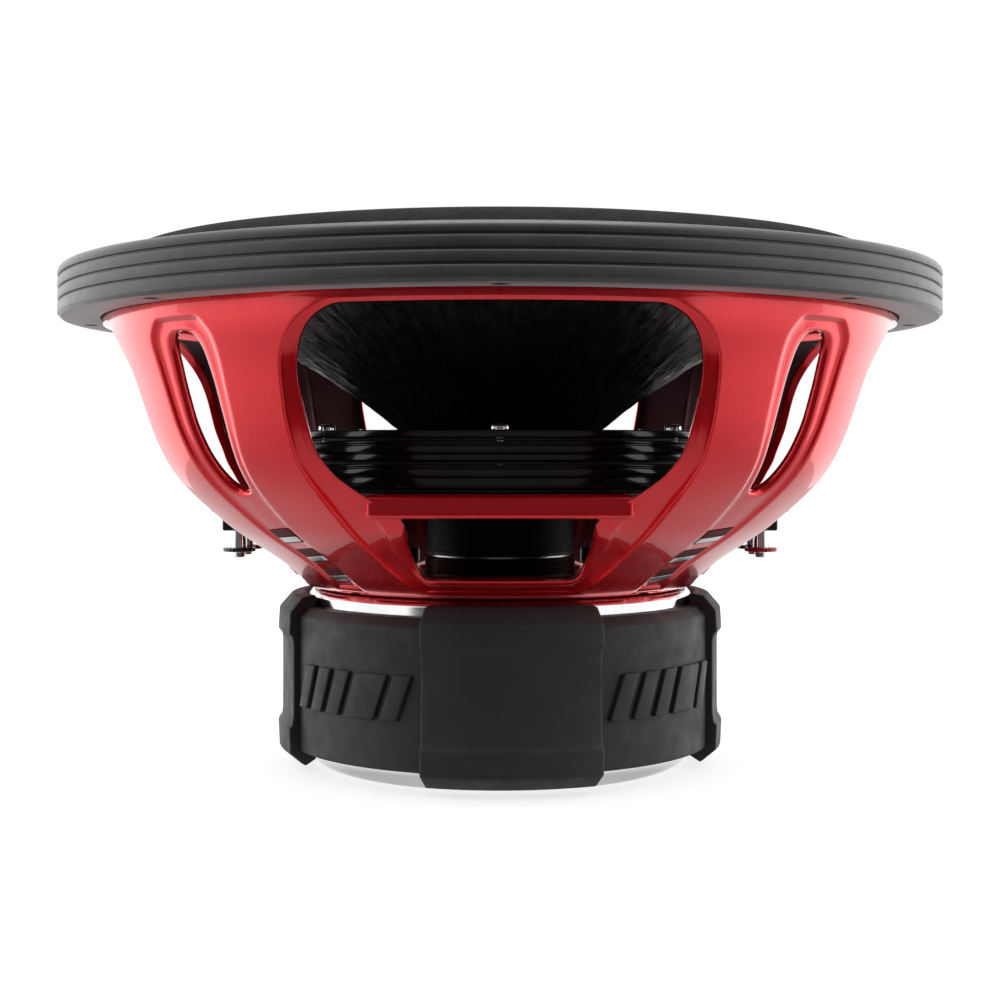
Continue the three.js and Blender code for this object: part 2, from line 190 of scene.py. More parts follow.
def joined(pieces, name):
    deselectAll()
    for piece in pieces:
        piece.select_set(True)
    bpy.context.view_layer.objects.active = pieces[0]
    if len(pieces) > 1:
        bpy.ops.object.join()
    return named(bpy.context.object, name)


def cutAway(piece, cutter):
    boolean = piece.modifiers.new("cut", "BOOLEAN")
    boolean.operation = "DIFFERENCE"
    boolean.solver = "EXACT"
    boolean.object = cutter
    applyAll(piece)
    bpy.data.objects.remove(cutter)
    return piece


def copied(piece, name, x=0, y=0, turn=0):  # each copy has its own mesh
    twin = piece.copy()
    twin.data = piece.data.copy()
    bpy.context.collection.objects.link(twin)
    named(twin, name)
    twin.location = (x * mm, y * mm, 0)
    twin.rotation_euler = (0, 0, radians(turn))
    return setPlace(twin)


def fitted(piece, material, body=frameBody, replaces=()):
    piece.data.materials.clear()
    piece.data.materials.append(material)
    if body:
        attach(piece, body)
    if replaces:
        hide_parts(*replaces)
    return piece


def lathed(name, section, material, replaces=(), body=frameBody, steps=192, edge=0, segments=2,
           edgeAngle=30, angle=35):
    # a spun section with its edges rounded, on its body
    piece = spun(name, section, steps)
    if edge:
        bevelled(piece, edge, segments, edgeAngle)
    return fitted(smooth(piece, angle), material, body, replaces)


def bentByCone(piece, material, replaces, share):
    # share(radius in mm) says how much of the cone's stroke a point follows
    fitted(piece, material, None, replaces)
    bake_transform(piece, frameBody, coneBody, start=(0.2, 0, 0), end=(0, 0, 0))
    weights = piece.data.attributes["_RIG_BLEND"].data
    for vertex, weight in zip(piece.data.vertices, weights):
        t = min(max(share(hypot(vertex.co.x, vertex.co.y) / mm), 0), 1)
        weight.value = t * t * (3 - 2 * t)
    return piece


# materials: every pattern is in object space, and metres

def newMaterial(name, color, roughness, metallic=0.0, coat=0.0, coatRoughness=0.03, specular=0.5):
    material = bpy.data.materials.new(name)
    material.use_nodes = True
    shader = material.node_tree.nodes["Principled BSDF"]
    shader.inputs["Base Color"].default_value = (*color, 1)
    shader.inputs["Roughness"].default_value = roughness
    shader.inputs["Metallic"].default_value = metallic
    shader.inputs["Coat Weight"].default_value = coat
    shader.inputs["Coat Roughness"].default_value = coatRoughness
    shader.inputs["Specular IOR Level"].default_value = specular
    return material


def addNode(material, kind, inputs=None, **settings):
    node = material.node_tree.nodes.new(kind)
    for key, value in settings.items():
        setattr(node, key, value)
    for key, value in (inputs or {}).items():
        if isinstance(value, bpy.types.NodeSocket):
            material.node_tree.links.new(value, node.inputs[key])
        else:
            node.inputs[key].default_value = value
    return node


def place(material, scale=(1, 1, 1)):
    coordinates = addNode(material, "ShaderNodeTexCoord")
    mapping = addNode(material, "ShaderNodeMapping", {"Vector": coordinates.outputs["Object"], "Scale": scale})
    return mapping.outputs["Vector"]


def noiseOf(material, scale, detail=4, rough=0.6, vector=None, distortion=0.0):
    inputs = {"Vector": vector or place(material), "Scale": scale, "Detail": detail, "Roughness": rough}
    inputs["Distortion"] = distortion
    return addNode(material, "ShaderNodeTexNoise", inputs).outputs["Fac"]


def cellsOf(material, scale):
    inputs = {"Vector": place(material), "Scale": scale}
    return addNode(material, "ShaderNodeTexVoronoi", inputs).outputs["Distance"]


def ranged(material, value, low, high, first=0.3, last=0.7):
    inputs = {"Value": value, "From Min": first, "From Max": last, "To Min": low, "To Max": high}
    return addNode(material, "ShaderNodeMapRange", inputs).outputs["Result"]


def shaderOf(material):
    return material.node_tree.nodes["Principled BSDF"]


def colourBy(material, value, dark, light, first=0.3, last=0.7):
    ramp = addNode(material, "ShaderNodeValToRGB", {"Fac": value})
    ramp.color_ramp.elements[0].position = first
    ramp.color_ramp.elements[1].position = last
    ramp.color_ramp.elements[0].color = (*dark, 1)
    ramp.color_ramp.elements[1].color = (*light, 1)
    material.node_tree.links.new(ramp.outputs["Color"], shaderOf(material).inputs["Base Color"])


def roughBy(material, value, low, high, first=0.3, last=0.7):
    result = ranged(material, value, low, high, first, last)
    material.node_tree.links.new(result, shaderOf(material).inputs["Roughness"])


def bumpBy(material, heights):  # heights: (socket, strength, distance in mm), the coarse one first
    normal = None
    for value, strength, distance in heights:
        inputs = {"Height": value, "Strength": strength, "Distance": distance * mm}
        if normal:
            inputs["Normal"] = normal
        normal = addNode(material, "ShaderNodeBump", inputs).outputs["Normal"]
    material.node_tree.links.new(normal, shaderOf(material).inputs["Normal"])


def radialRings(material, spacing):  # fine turning marks, one ring every spacing millimetres
    split = addNode(material, "ShaderNodeSeparateXYZ", {"Vector": place(material)})
    flat = addNode(material, "ShaderNodeCombineXYZ", {"X": split.outputs["X"], "Y": split.outputs["Y"]})
    length = addNode(material, "ShaderNodeVectorMath", {0: flat.outputs["Vector"]}, operation="LENGTH")
    scaled = addNode(material, "ShaderNodeMath", {0: length.outputs["Value"], 1: 2 * pi / (spacing * mm)},
                     operation="MULTIPLY")
    return addNode(material, "ShaderNodeMath", {0: scaled.outputs["Value"]}, operation="SINE").outputs["Value"]


def redPaint():
    material = newMaterial("candyRedPaint", (0.94, 0.008, 0.018), 0.28, 0.6, coat=1.0, coatRoughness=0.02,
                           specular=0.1)
    colourBy(material, noiseOf(material, 14, 3), (0.88, 0.005, 0.014), (0.97, 0.008, 0.019))
    roughBy(material, noiseOf(material, 90, 3), 0.22, 0.32)
    bumpBy(material, [(noiseOf(material, 60, 2), 0.02, 0.1), (noiseOf(material, 700, 2), 0.01, 0.02)])
    return material


# a darker copy of the red paint for the basket's inside faces, shelf ring and webs: painted shade
def shadedPaint():
    material = newMaterial("paintedShadeInside", (0.20, 0.075, 0.095), 0.38, 0.25, coat=0.3, coatRoughness=0.2)
    colourBy(material, noiseOf(material, 30, 3), (0.17, 0.060, 0.075), (0.24, 0.090, 0.11))
    roughBy(material, noiseOf(material, 120, 4), 0.32, 0.5)
    bumpBy(material, [(noiseOf(material, 400, 3), 0.1, 0.05)])
    return material


# dark red for the leg pockets: painted shade in the recess
def deepRed():
    material = newMaterial("paintedPocketShade", (0.10, 0.002, 0.005), 0.55, specular=0.25)
    colourBy(material, noiseOf(material, 200, 3), (0.07, 0.001, 0.003), (0.14, 0.003, 0.007))
    bumpBy(material, [(noiseOf(material, 800, 3), 0.1, 0.04)])
    return material


def gasketRubber():
    material = newMaterial("gasketRubber", (0.03, 0.03, 0.032), 0.45, specular=0.8)
    shaderOf(material).inputs["Sheen Weight"].default_value = 0.45
    shaderOf(material).inputs["Sheen Roughness"].default_value = 0.3
    cloud = noiseOf(material, 55, 5)
    colourBy(material, cloud, (0.022, 0.022, 0.024), (0.040, 0.040, 0.043))
    roughBy(material, noiseOf(material, 300, 4), 0.4, 0.5)
    bumpBy(material, [(noiseOf(material, 1300, 3), 0.45, 0.09)])
    return material


def bootRubber():
    material = newMaterial("bootRubber", (0.034, 0.034, 0.035), 0.6, specular=0.42)
    colourBy(material, noiseOf(material, 26, 5), (0.029, 0.029, 0.030), (0.041, 0.041, 0.043))
    roughBy(material, noiseOf(material, 120, 5), 0.5, 0.72)
    bumpBy(material, [(noiseOf(material, 90, 3), 0.06, 0.2), (noiseOf(material, 1100, 4), 0.4, 0.08)])
    return material


def surroundFoam():
    material = newMaterial("surroundFoam", (0.016, 0.016, 0.017), 0.8, specular=0.06)
    pores = cellsOf(material, 1300)
    colourBy(material, noiseOf(material, 80, 4), (0.012, 0.012, 0.012), (0.02, 0.02, 0.021))
    roughBy(material, noiseOf(material, 600, 3), 0.62, 0.85)
    bumpBy(material, [(noiseOf(material, 160, 3), 0.15, 0.15), (pores, 0.5, 0.12)])
    return material


def conePaper():
    material = newMaterial("pressedPaper", (0.008, 0.008, 0.008), 0.4, specular=0.45)
    fibres = noiseOf(material, 420, 8, 0.7, distortion=2.0)
    creases = noiseOf(material, 1, 6, 0.7, vector=spokes(material, 20, 55), distortion=1.8)
    # the colour follows the creases, darker in their hollows and lighter on their crests: painted shade and
    # painted highlight
    colourBy(material, creases, (0.004, 0.004, 0.004), (0.016, 0.016, 0.017))
    roughBy(material, noiseOf(material, 130, 6), 0.2, 0.5)
    bumpBy(material, [(creases, 0.7, 1.3), (fibres, 0.5, 0.25)])
    return material


def smoothPaper():
    material = newMaterial("smoothPaper", (0.012, 0.012, 0.012), 0.55, specular=0.5)
    colourBy(material, noiseOf(material, 90, 6), (0.008, 0.008, 0.008), (0.02, 0.02, 0.021))
    roughBy(material, noiseOf(material, 200, 5), 0.42, 0.65)
    bumpBy(material, [(noiseOf(material, 90, 4), 0.1, 0.2), (noiseOf(material, 900, 6, 0.7), 0.35, 0.1)])
    return material


def spokes(material, around, outwards):  # a space whose patterns stretch out from the axis
    split = addNode(material, "ShaderNodeSeparateXYZ", {"Vector": place(material)})
    flat = addNode(material, "ShaderNodeCombineXYZ", {"X": split.outputs["X"], "Y": split.outputs["Y"]})
    unit = addNode(material, "ShaderNodeVectorMath", {0: flat.outputs["Vector"]}, operation="NORMALIZE")
    spread = addNode(material, "ShaderNodeVectorMath", {0: unit.outputs["Vector"], 3: around}, operation="SCALE")
    rise = addNode(material, "ShaderNodeMath", {0: split.outputs["Z"], 1: outwards}, operation="MULTIPLY")
    up = addNode(material, "ShaderNodeCombineXYZ", {"Z": rise.outputs["Value"]})
    return addNode(material, "ShaderNodeVectorMath", {0: spread.outputs["Vector"], 1: up.outputs["Vector"]},
                   operation="ADD").outputs["Vector"]


def spiderCloth():
    material = newMaterial("spiderCloth", (0.014, 0.014, 0.014), 0.75, specular=0.45)
    across = addNode(material, "ShaderNodeTexWave", {"Vector": place(material), "Scale": 560, "Distortion": 0.6},
                     bands_direction="X").outputs["Fac"]
    along = addNode(material, "ShaderNodeTexWave", {"Vector": place(material), "Scale": 560, "Distortion": 0.6},
                    bands_direction="Y").outputs["Fac"]
    weave = addNode(material, "ShaderNodeMath", {0: across, 1: along}, operation="MAXIMUM").outputs["Value"]
    colourBy(material, noiseOf(material, 90, 4), (0.009, 0.009, 0.009), (0.022, 0.022, 0.021))
    roughBy(material, noiseOf(material, 300, 3), 0.5, 0.8)
    bumpBy(material, [(noiseOf(material, 200, 3), 0.3, 0.2), (weave, 0.6, 0.14)])
    return material


def glossBlack(name="glossBlackPlastic", roughness=0.14):
    material = newMaterial(name, (0.008, 0.008, 0.009), roughness, specular=0.6, coat=0.4)
    colourBy(material, noiseOf(material, 60, 3), (0.006, 0.006, 0.007), (0.012, 0.012, 0.013))
    roughBy(material, noiseOf(material, 180, 4), roughness * 0.8, roughness * 1.6)
    bumpBy(material, [(noiseOf(material, 350, 3), 0.08, 0.08)])
    return material


def chromePlate(name="chromePlate", marks=0.5, color=(0.86, 0.87, 0.88)):
    material = newMaterial(name, color, 0.1, 1.0)
    lines = radialRings(material, marks)
    roughBy(material, noiseOf(material, 220, 5), 0.06, 0.17)
    colourBy(material, noiseOf(material, 35, 4), tuple(c * 0.92 for c in color), color)
    bumpBy(material, [(noiseOf(material, 45, 2), 0.05, 0.3), (lines, 0.03, 0.02)])
    return material


def machinedMetal():
    material = newMaterial("machinedFace", (0.85, 0.84, 0.85), 0.16, 1.0)
    lines = noiseOf(material, 1.0, 3, vector=place(material, (2600, 2600, 150)))
    roughBy(material, lines, 0.12, 0.3)
    colourBy(material, noiseOf(material, 300, 2), (0.74, 0.72, 0.73), (0.9, 0.9, 0.91))
    bumpBy(material, [(lines, 0.12, 0.03)])
    return material


def woundCopper():
    material = newMaterial("lacqueredWinding", (0.10, 0.045, 0.03), 0.35, 0.7, coat=0.5)
    colourBy(material, noiseOf(material, 1.0, 3, vector=place(material, (90, 90, 1400))),
             (0.045, 0.03, 0.026), (0.16, 0.065, 0.04))
    roughBy(material, noiseOf(material, 200, 4), 0.25, 0.5)
    bumpBy(material, [(noiseOf(material, 700, 3), 0.2, 0.05)])
    return material


def resinWrap():
    material = newMaterial("resinWrap", (0.014, 0.014, 0.015), 0.5, specular=0.4)
    colourBy(material, noiseOf(material, 240, 5), (0.009, 0.009, 0.010), (0.024, 0.024, 0.026))
    roughBy(material, noiseOf(material, 350, 5), 0.42, 0.68)
    bumpBy(material, [(cellsOf(material, 900), 0.5, 0.25), (noiseOf(material, 2200, 3), 0.3, 0.06)])
    return material


def ferriteBlock():
    material = newMaterial("sinteredFerrite", (0.05, 0.05, 0.052), 0.7)
    colourBy(material, noiseOf(material, 160, 6), (0.035, 0.035, 0.037), (0.07, 0.07, 0.073))
    bumpBy(material, [(noiseOf(material, 900, 5), 0.4, 0.1)])
    return material


def bareAluminium():
    material = newMaterial("bareAluminium", (0.62, 0.62, 0.63), 0.35, 1.0)
    roughBy(material, noiseOf(material, 1.0, 3, vector=place(material, (60, 60, 2500))), 0.25, 0.45)
    colourBy(material, noiseOf(material, 120, 3), (0.55, 0.55, 0.56), (0.66, 0.66, 0.67))
    return material


def redPlastic():
    material = newMaterial("redPlastic", (0.55, 0.012, 0.016), 0.25, specular=0.55)
    colourBy(material, noiseOf(material, 200, 3), (0.46, 0.008, 0.012), (0.62, 0.016, 0.02))
    bumpBy(material, [(noiseOf(material, 900, 3), 0.15, 0.04)])
    return material


def blackSteel():
    material = newMaterial("blackOxide", (0.03, 0.03, 0.031), 0.38, 0.8)
    colourBy(material, noiseOf(material, 400, 4), (0.02, 0.02, 0.021), (0.045, 0.045, 0.047))
    bumpBy(material, [(noiseOf(material, 1200, 3), 0.2, 0.04)])
    return material


def braidedCopper():
    material = newMaterial("braidedCopper", (0.55, 0.28, 0.14), 0.35, 1.0)
    strands = noiseOf(material, 1.0, 3, vector=place(material, (2500, 900, 900)))
    # the colour follows the strands, darker between them and lighter on their tops: painted shade and painted
    # highlight
    colourBy(material, strands, (0.38, 0.17, 0.08), (0.68, 0.36, 0.2))
    bumpBy(material, [(strands, 0.7, 0.2)])
    return material


paint = redPaint()
shadedInsidePaint = shadedPaint()
chrome = chromePlate()
blackGloss = glossBlack()
machined = machinedMetal()
pocketShadePaint = deepRed()
facePaper = smoothPaper()
print("materials ready")


# basket: one curved sheet per half window, mirrored and turned, then given its wall

basketForm = {
    "wall": 4.6,
    "foot": 79,
    "top": 199.5,
    "heights": [79, 81, 84, 88, 92, 96, 100, 104, 108, 112, 116, 119, 121, 122, 122.6, 123.6, 125, 127.5, 131, 135,
                139, 143, 147, 151, 155, 159, 163, 167, 171, 174.5, 178, 180.5, 182.6, 184.2, 185.2, 185.8, 187,
                188.6, 190, 190.9, 192.2, 194.5, 197, 199.5],
    "outerLine": [(78.5, 84), (80.5, 89), (84, 93), (88.5, 99), (93, 105), (106, 126.7), (110.5, 132),
                  (119, 142.5), (127.5, 151.5), (136, 157.8), (148, 163.3), (160.5, 167.4), (172.7, 171.2),
                  (185, 175.7), (192.5, 177), (206, 177)],
    "windowLine": [(87.4, 28.8), (89.6, 31.9), (101, 36), (112.5, 37), (123.5, 54.4), (130, 62.8), (138.5, 69),
                   (147.6, 71.4), (154.5, 72.8), (166, 75), (174, 75), (181, 73.4), (185.5, 71), (189.5, 67.5),
                   (192, 63), (193, 59)],
    "lipLine": [(80.4, 25), (82, 33), (89.6, 43.3), (105, 57.6), (122, 69.2), (134.5, 76.4), (152, 80.2),
                (170, 81.6), (175.8, 81), (182.6, 78.5), (188, 74.5), (192, 69), (194.6, 61)],
    "channelLine": [(79, 7.6), (97, 8.5), (112, 11), (130, 15), (150, 18.5), (172, 20), (182, 20.2), (187, 18),
                    (190.5, 13), (192, 12), (200, 12)],
    "slotLine": [(122, 0), (122.6, 3.2), (124.5, 5.6), (128, 7.2), (138, 9.4), (150, 11), (166, 11), (178, 9.6),
                 (183, 7.4), (185, 4.4), (185.8, 0)],
    "lipDepth": [(80, 2.2), (88, 4), (104, 9), (120, 9.5), (134, 5.2), (150, 4), (193, 3.4)],
    "channelTop": 190.6,
    "channelDepth": 2.0,
    "returnDepth": 4.5,
    "thinRow": 11,  # the wall thins from this row of points to the window's edge
    "thinWall": 0.28,
    "frameTop": 112,
    "frameRise": 2.2,
    "legSteps": (0.2, 0.4, 0.6, 0.8, 0.94, 0.985),  # shares of the way from the channel to the lip
    # shares of the way from the lip to the window, each with its share of the lip's depth
    "lipSteps": [(0.015, 0.36), (0.06, 0.42), (0.3, 0.56), (0.56, 0.72), (0.62, 0.75)],
    "frameSteps": [(0.64, 0.77), (0.8, 0.87), (0.95, 0.97)],
}


def along(line, at):  # value of a line of (height, value) points
    if at <= line[0][0]:
        return line[0][1]
    for (z0, v0), (z1, v1) in zip(line, line[1:]):
        if at <= z1:
            return v0 + (v1 - v0) * (at - z0) / (z1 - z0)
    return line[-1][1]


def softly(line, at, spread=3.5, samples=9):  # the same line with its corners eased
    steps = [(2 * i / (samples - 1) - 1) * spread for i in range(samples)]
    return sum(along(line, at + step) for step in steps) / samples


def wallRadius(z):
    return softly(basketForm["outerLine"], z, min(3.5, max(0.4, z - 79)))


def sideways(width, z):  # angle of a point that lies width from the middle plane
    return asin(min(width / wallRadius(z), 0.99))


def loopPoints(low, high, cornerAngle, heights, bottomSteps=8, topSteps=14):
    # (angle, height) from the bottom middle, up along the leg, to the top middle
    first, last = heights[0], heights[-1]
    levels = [low + (high - low) * (h - first) / (last - first) for h in heights]
    side = [(cornerAngle(z), z) for z in levels]
    bottom = [(side[0][0] * i / bottomSteps, low) for i in range(bottomSteps)]
    top = [(side[-1][0] * (1 - i / topSteps), high) for i in range(1, topSteps + 1)]
    return bottom + side + top


def mixed(a, b, share):
    return [(p + (q - p) * share, y + (z - y) * share) for (p, y), (q, z) in zip(a, b)]


def basketRows():
    # rows of (angle, height, depth) from the leg's middle to the window's edge, then back into the basket
    leg = radians(45)
    form = basketForm
    low, high, heights = form["foot"], form["top"], form["heights"]

    def channel(z, inset=0):
        return leg - sideways(softly(form["channelLine"], z) - inset, z)

    middle = loopPoints(low, high, lambda z: leg - sideways(along(form["slotLine"], z), z), heights)
    floorEdge = loopPoints(low + 0.3, high - 0.3, lambda z: channel(z, 1.1), heights)
    rimEdge = loopPoints(low + 0.6, high - 0.6, lambda z: channel(z, 0), heights)
    rimBack = loopPoints(low + 0.9, high - 1.1, lambda z: channel(z, -1.3), heights)
    lip = loopPoints(low + 1.6, 194.6, lambda z: sideways(softly(form["lipLine"], z, 2.5), z), heights)
    window = loopPoints(87.4, 193, lambda z: sideways(softly(form["windowLine"], z, 1.2), z), heights)

    def recessed(loop):
        return [(a, z, form["channelDepth"] if low + 0.2 < z < form["channelTop"] and a > radians(20) else 0)
                for a, z in loop]

    def sunk(loop, share, extra=0):  # straight in, so the opening keeps its width
        points = []
        for a, z in loop:
            depth = along(form["lipDepth"], z) * share + extra
            r = wallRadius(z)
            points.append((asin(min(sin(a) * r / (r - depth), 0.99)), z, depth))
        return points

    def framed(loop, share):  # the narrow frame round the lower window stands proud of the lip
        return [(a, z, d - form["frameRise"] * min(1, max(0, (form["frameTop"] - z) / 3)))
                for a, z, d in sunk(loop, share)]

    rows = [recessed(middle), recessed(mixed(middle, floorEdge, 0.5)), recessed(floorEdge)]
    rows += [sunk(rimEdge, 0), sunk(rimBack, 0)]
    rows += [sunk(mixed(rimBack, lip, share), 0) for share in form["legSteps"]] + [sunk(lip, 0)]
    rows += [sunk(mixed(lip, window, share), depth) for share, depth in form["lipSteps"]]
    rows += [framed(mixed(lip, window, share), depth) for share, depth in form["frameSteps"]] + [framed(window, 1)]
    return rows + [sunk(window, 1, extra) for extra in (0.7, form["returnDepth"] / 2, form["returnDepth"])]


def basketSheet():
    rows = basketRows()
    points, faces, walls = [], [], []
    thin = basketForm["thinRow"]
    for quarterTurn in range(4):
        for side in (1, -1):
            base = len(points)
            across = len(rows[0])
            for index, row in enumerate(rows):
                for angle, z, depth in row:
                    walls.append(max(basketForm["thinWall"], 1 - max(0, index - thin) / 5))
                    turn = side * angle + quarterTurn * pi / 2 - pi / 2
                    r = wallRadius(z) - depth
                    points.append((r * cos(turn) * mm, r * sin(turn) * mm, z * mm))
            for i in range(len(rows) - 1):
                for j in range(across - 1):
                    a, b = base + i * across + j, base + i * across + j + 1
                    quad = (a, b, b + across, a + across)
                    faces.append(quad if side > 0 else quad[::-1])
    mesh = bpy.data.meshes.new("basketShell")
    mesh.from_pydata(points, [], faces)
    sheet = bpy.data.objects.new("basketShell", mesh)
    bpy.context.collection.objects.link(sheet)
    group = sheet.vertex_groups.new(name="wall")
    for index, share in enumerate(walls):
        group.add([index], share, "REPLACE")
    return sheet


def mergeSheet(sheet):
    makeActive(sheet)
    bpy.ops.object.mode_set(mode="EDIT")
    bpy.ops.mesh.select_all(action="SELECT")
    bpy.ops.mesh.remove_doubles(threshold=2e-5)
    bpy.ops.mesh.normals_make_consistent(inside=False)
    bpy.ops.object.mode_set(mode="OBJECT")
    outward = sum(p.normal.x * p.center.x + p.normal.y * p.center.y for p in sheet.data.polygons)
    if outward < 0:
        bpy.ops.object.mode_set(mode="EDIT")
        bpy.ops.mesh.select_all(action="SELECT")
        bpy.ops.mesh.flip_normals()
        bpy.ops.object.mode_set(mode="OBJECT")


castForm = {"flangeBore": 171.5, "skirt": 176.4, "skirtFoot": 195, "flangeUnder": 199.5, "baseBore": 40,
            "baseFoot": 82, "baseShoulder": 88.5, "baseRise": 2.2, "baseSide": [(90, 83), (88.5, 86.8), (84, 88)],
            "baseTop": 86.5}


def buildBasket():
    form = castForm
    sheet = basketSheet()
    mergeSheet(sheet)
    wall = sheet.modifiers.new("wall", "SOLIDIFY")
    wall.thickness = basketForm["wall"] * mm
    wall.offset = -1
    wall.use_even_offset = False
    wall.vertex_group = "wall"
    wall.material_offset = 1  # the inside faces get a darker copy of the red paint, as painted shade
    for coat in (paint, shadedInsidePaint):
        sheet.data.materials.append(coat)
    rounding = sheet.modifiers.new("rounding", "SUBSURF")
    rounding.levels = rounding.render_levels = 1
    applyAll(sheet)
    makeActive(sheet)
    bpy.ops.object.shade_smooth()
    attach(sheet, frameBody)
    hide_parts("basket")
    radius, bottom, top = reach("basket")
    bore, skirt, under = form["flangeBore"], form["skirt"], form["flangeUnder"]
    flange = [(bore, form["skirtFoot"]), (skirt, form["skirtFoot"]), (skirt, under), (radius, under),
              (radius, top), (bore, top)]
    lathed("basketFlange", flange, paint, steps=256, edge=0.6)
    bore, foot, shoulder = form["baseBore"], form["baseFoot"], form["baseShoulder"]
    base = [(bore, bottom), (foot, bottom), (shoulder, bottom + form["baseRise"])] + form["baseSide"]
    lathed("basketBase", base + [(bore, form["baseTop"])], paint, edge=0.6)


shelfForm = {"bore": 92, "ring": 110, "low": 113.2, "high": 122.8, "barHalf": 52, "barFace": 124.4, "barDepth": 22,
             "rounding": 2.4, "web": (26, 22), "webPlace": -115}


def buildShelf():
    form = shelfForm
    low, high, bore, ring = form["low"], form["high"], form["bore"], form["ring"]
    middle = (low + high) / 2
    # the shelf ring gets the darker copy of the paint, as painted shade
    lathed("spiderShelf", [(bore, low), (ring, low), (ring, high), (bore, high)], shadedInsidePaint,
           edge=0.8, segments=3)
    for number in range(4):
        size = (2 * form["barHalf"], form["barDepth"], high - low)
        spot = (0, -form["barFace"] + form["barDepth"] / 2, middle)
        bar = block(f"shelfBar{number + 1}", size, spot, form["rounding"], 90 * number)
        fitted(smooth(bar, 40), paint)
    for number in range(4):  # webs that carry the shelf from the legs, behind their outer skin
        web = block(f"shelfWeb{number + 1}", (*form["web"], high - low), (0, form["webPlace"], middle), 1.5,
                    45 + 90 * number)
        # the webs get the darker copy of the paint, as painted shade
        fitted(smooth(web, 40), shadedInsidePaint)


padForm = {"heights": (88, 96.5, 105), "half": 7.2, "tall": 5.8, "slant": 1.2, "proud": 0.25, "root": 1.5,
           "barHalf": 6.6, "barTall": 2.1, "barDrop": 1.5, "barProud": 0.7}


def buildLegPads():
    # three slanted pockets at the foot of each leg, each with a machined bar along its lower side; each pocket is
    # a thin pad on the channel's floor, dark red as painted shade
    form = padForm
    for leg in range(4):
        turn = 90 * leg - 45
        pockets, bars = [], []
        for index, z in enumerate(form["heights"]):
            pockets.append(padOnWall(f"pocket{index}", form["half"], form["tall"], z, form["proud"], turn))
            bars.append(padOnWall(f"bar{index}", form["barHalf"], form["barTall"], z - form["barDrop"],
                                  form["barProud"], turn))
        fitted(smooth(joined(pockets, f"legPocketShade{leg + 1}"), 40), pocketShadePaint)
        fitted(smooth(joined(bars, f"legBars{leg + 1}"), 40), machined)


def padOnWall(name, half, tall, z, proud, turn):  # a slanted pad on the channel's floor
    deselectAll()
    bpy.ops.mesh.primitive_cube_add(size=1)
    pad = named(bpy.context.object, name)
    bpy.ops.object.mode_set(mode="EDIT")
    bpy.ops.mesh.subdivide(number_cuts=4)
    bpy.ops.object.mode_set(mode="OBJECT")
    root = padForm["root"]
    for vertex in pad.data.vertices:
        across = 2 * half * vertex.co.x
        height = z + tall * vertex.co.z + padForm["slant"] / 2 * across / padForm["half"]
        depth = basketForm["channelDepth"] + (root - proud) / 2 + (root + proud) * vertex.co.y
        r = sqrt(max((wallRadius(height) - depth) ** 2 - across ** 2, 1))
        vertex.co = (r * mm, across * mm, height * mm)
    closeUp(pad)
    bevelled(pad, 0.3, 2)
    return turned(pad, turn)


buildBasket()
buildShelf()
buildLegPads()
print("basket built")


# rim: rubber gasket and surround

gasketForm = {"bore": 177, "grooves": (203.6, 208.7, 213.9), "grooveHalf": 0.6, "grooveDepth": 1.3,
              "grooveEase": 0.9, "grooveLip": 0.25, "topRounding": 2.6, "innerRounding": 1.6, "footRounding": 1.4,
              "ledge": 207.3, "shoulder": 193.3, "seat": 199.2, "holes": 8, "holeRadius": 3, "holeCircle": 187}


def buildGasket():
    radius, bottom, top = reach("rim_gasket")
    form = gasketForm
    half, depth, ease, lip = form["grooveHalf"], form["grooveDepth"], form["grooveEase"], form["grooveLip"]
    side = []
    for z in form["grooves"]:
        side += [(radius, z - half - ease), (radius - lip, z - half), (radius - depth, z - half * 0.5),
                 (radius - depth, z + half * 0.5), (radius - lip, z + half), (radius, z + half + ease)]
    outer, inner, foot = form["topRounding"], form["innerRounding"], form["footRounding"]
    crown = arcPoints(radius - outer, top - outer, outer, 0, 90, 5)
    crown += arcPoints(form["bore"] + inner, top - inner, inner, 90, 180, 4)
    section = [(form["bore"] + 1, bottom), (radius - foot, bottom), (radius, bottom + foot)] + side + crown
    section += [(form["bore"], form["ledge"]), (form["shoulder"], form["ledge"]), (form["shoulder"], form["seat"]),
                (form["bore"] + 1, form["seat"])]
    gasket = spun("rimGasket", section, 256)
    holes = []
    for i in range(form["holes"]):
        turn = 2 * pi * i / form["holes"]
        holes.append(rod(f"hole{i}", form["holeRadius"], bottom - 5, top + 5,
                         form["holeCircle"] * sin(turn), -form["holeCircle"] * cos(turn)))
    cutAway(gasket, joined(holes, "holes"))
    bevelled(gasket, 0.25, 2, 40)
    fitted(smooth(gasket, 40), gasketRubber(), replaces=["rim_gasket"])


surroundForm = {
    "middle": 157,
    "radius": 19,
    "thickness": 2.5,
    "level": 209.2,
    "innerLip": [(136.4, 208.9), (133, 207.1), (127, 204.2), (126.2, 202.9), (126.6, 202.2), (139.2, 209)],
    "outerLip": [(173.5, 205.3), (183, 205.3), (183, 207), (176.3, 207)],
}


def buildSurround():
    middle, radius, level = surroundForm["middle"], surroundForm["radius"], surroundForm["level"]
    outer = arcPoints(middle, level, radius, 0, 180, 28)
    inner = arcPoints(middle, level, radius - surroundForm["thickness"], 180, 0, 24)
    roll = spun("surround", outer + surroundForm["innerLip"] + inner + surroundForm["outerLip"], 256)
    smooth(roll, 50)
    bentByCone(roll, surroundFoam(), ["surround"], lambda r: (middle + radius - r) / (radius * 2))


# cone, dust cap and voice coil

coneForm = {"back": [(33.5, 139), (46.3, 149.4), (65.1, 164.1), (91.7, 180.9), (138, 206)], "thickness": 1.6,
            "rows": 60, "wrinkle": 0.85, "frontWrinkle": 0.1, "calmInside": 36, "calmOutside": 134, "spokes": 13}


def coneHeight(r):
    line = coneForm["back"]
    return softly(line, r, 6 if 42 < r < 128 else 1.5)


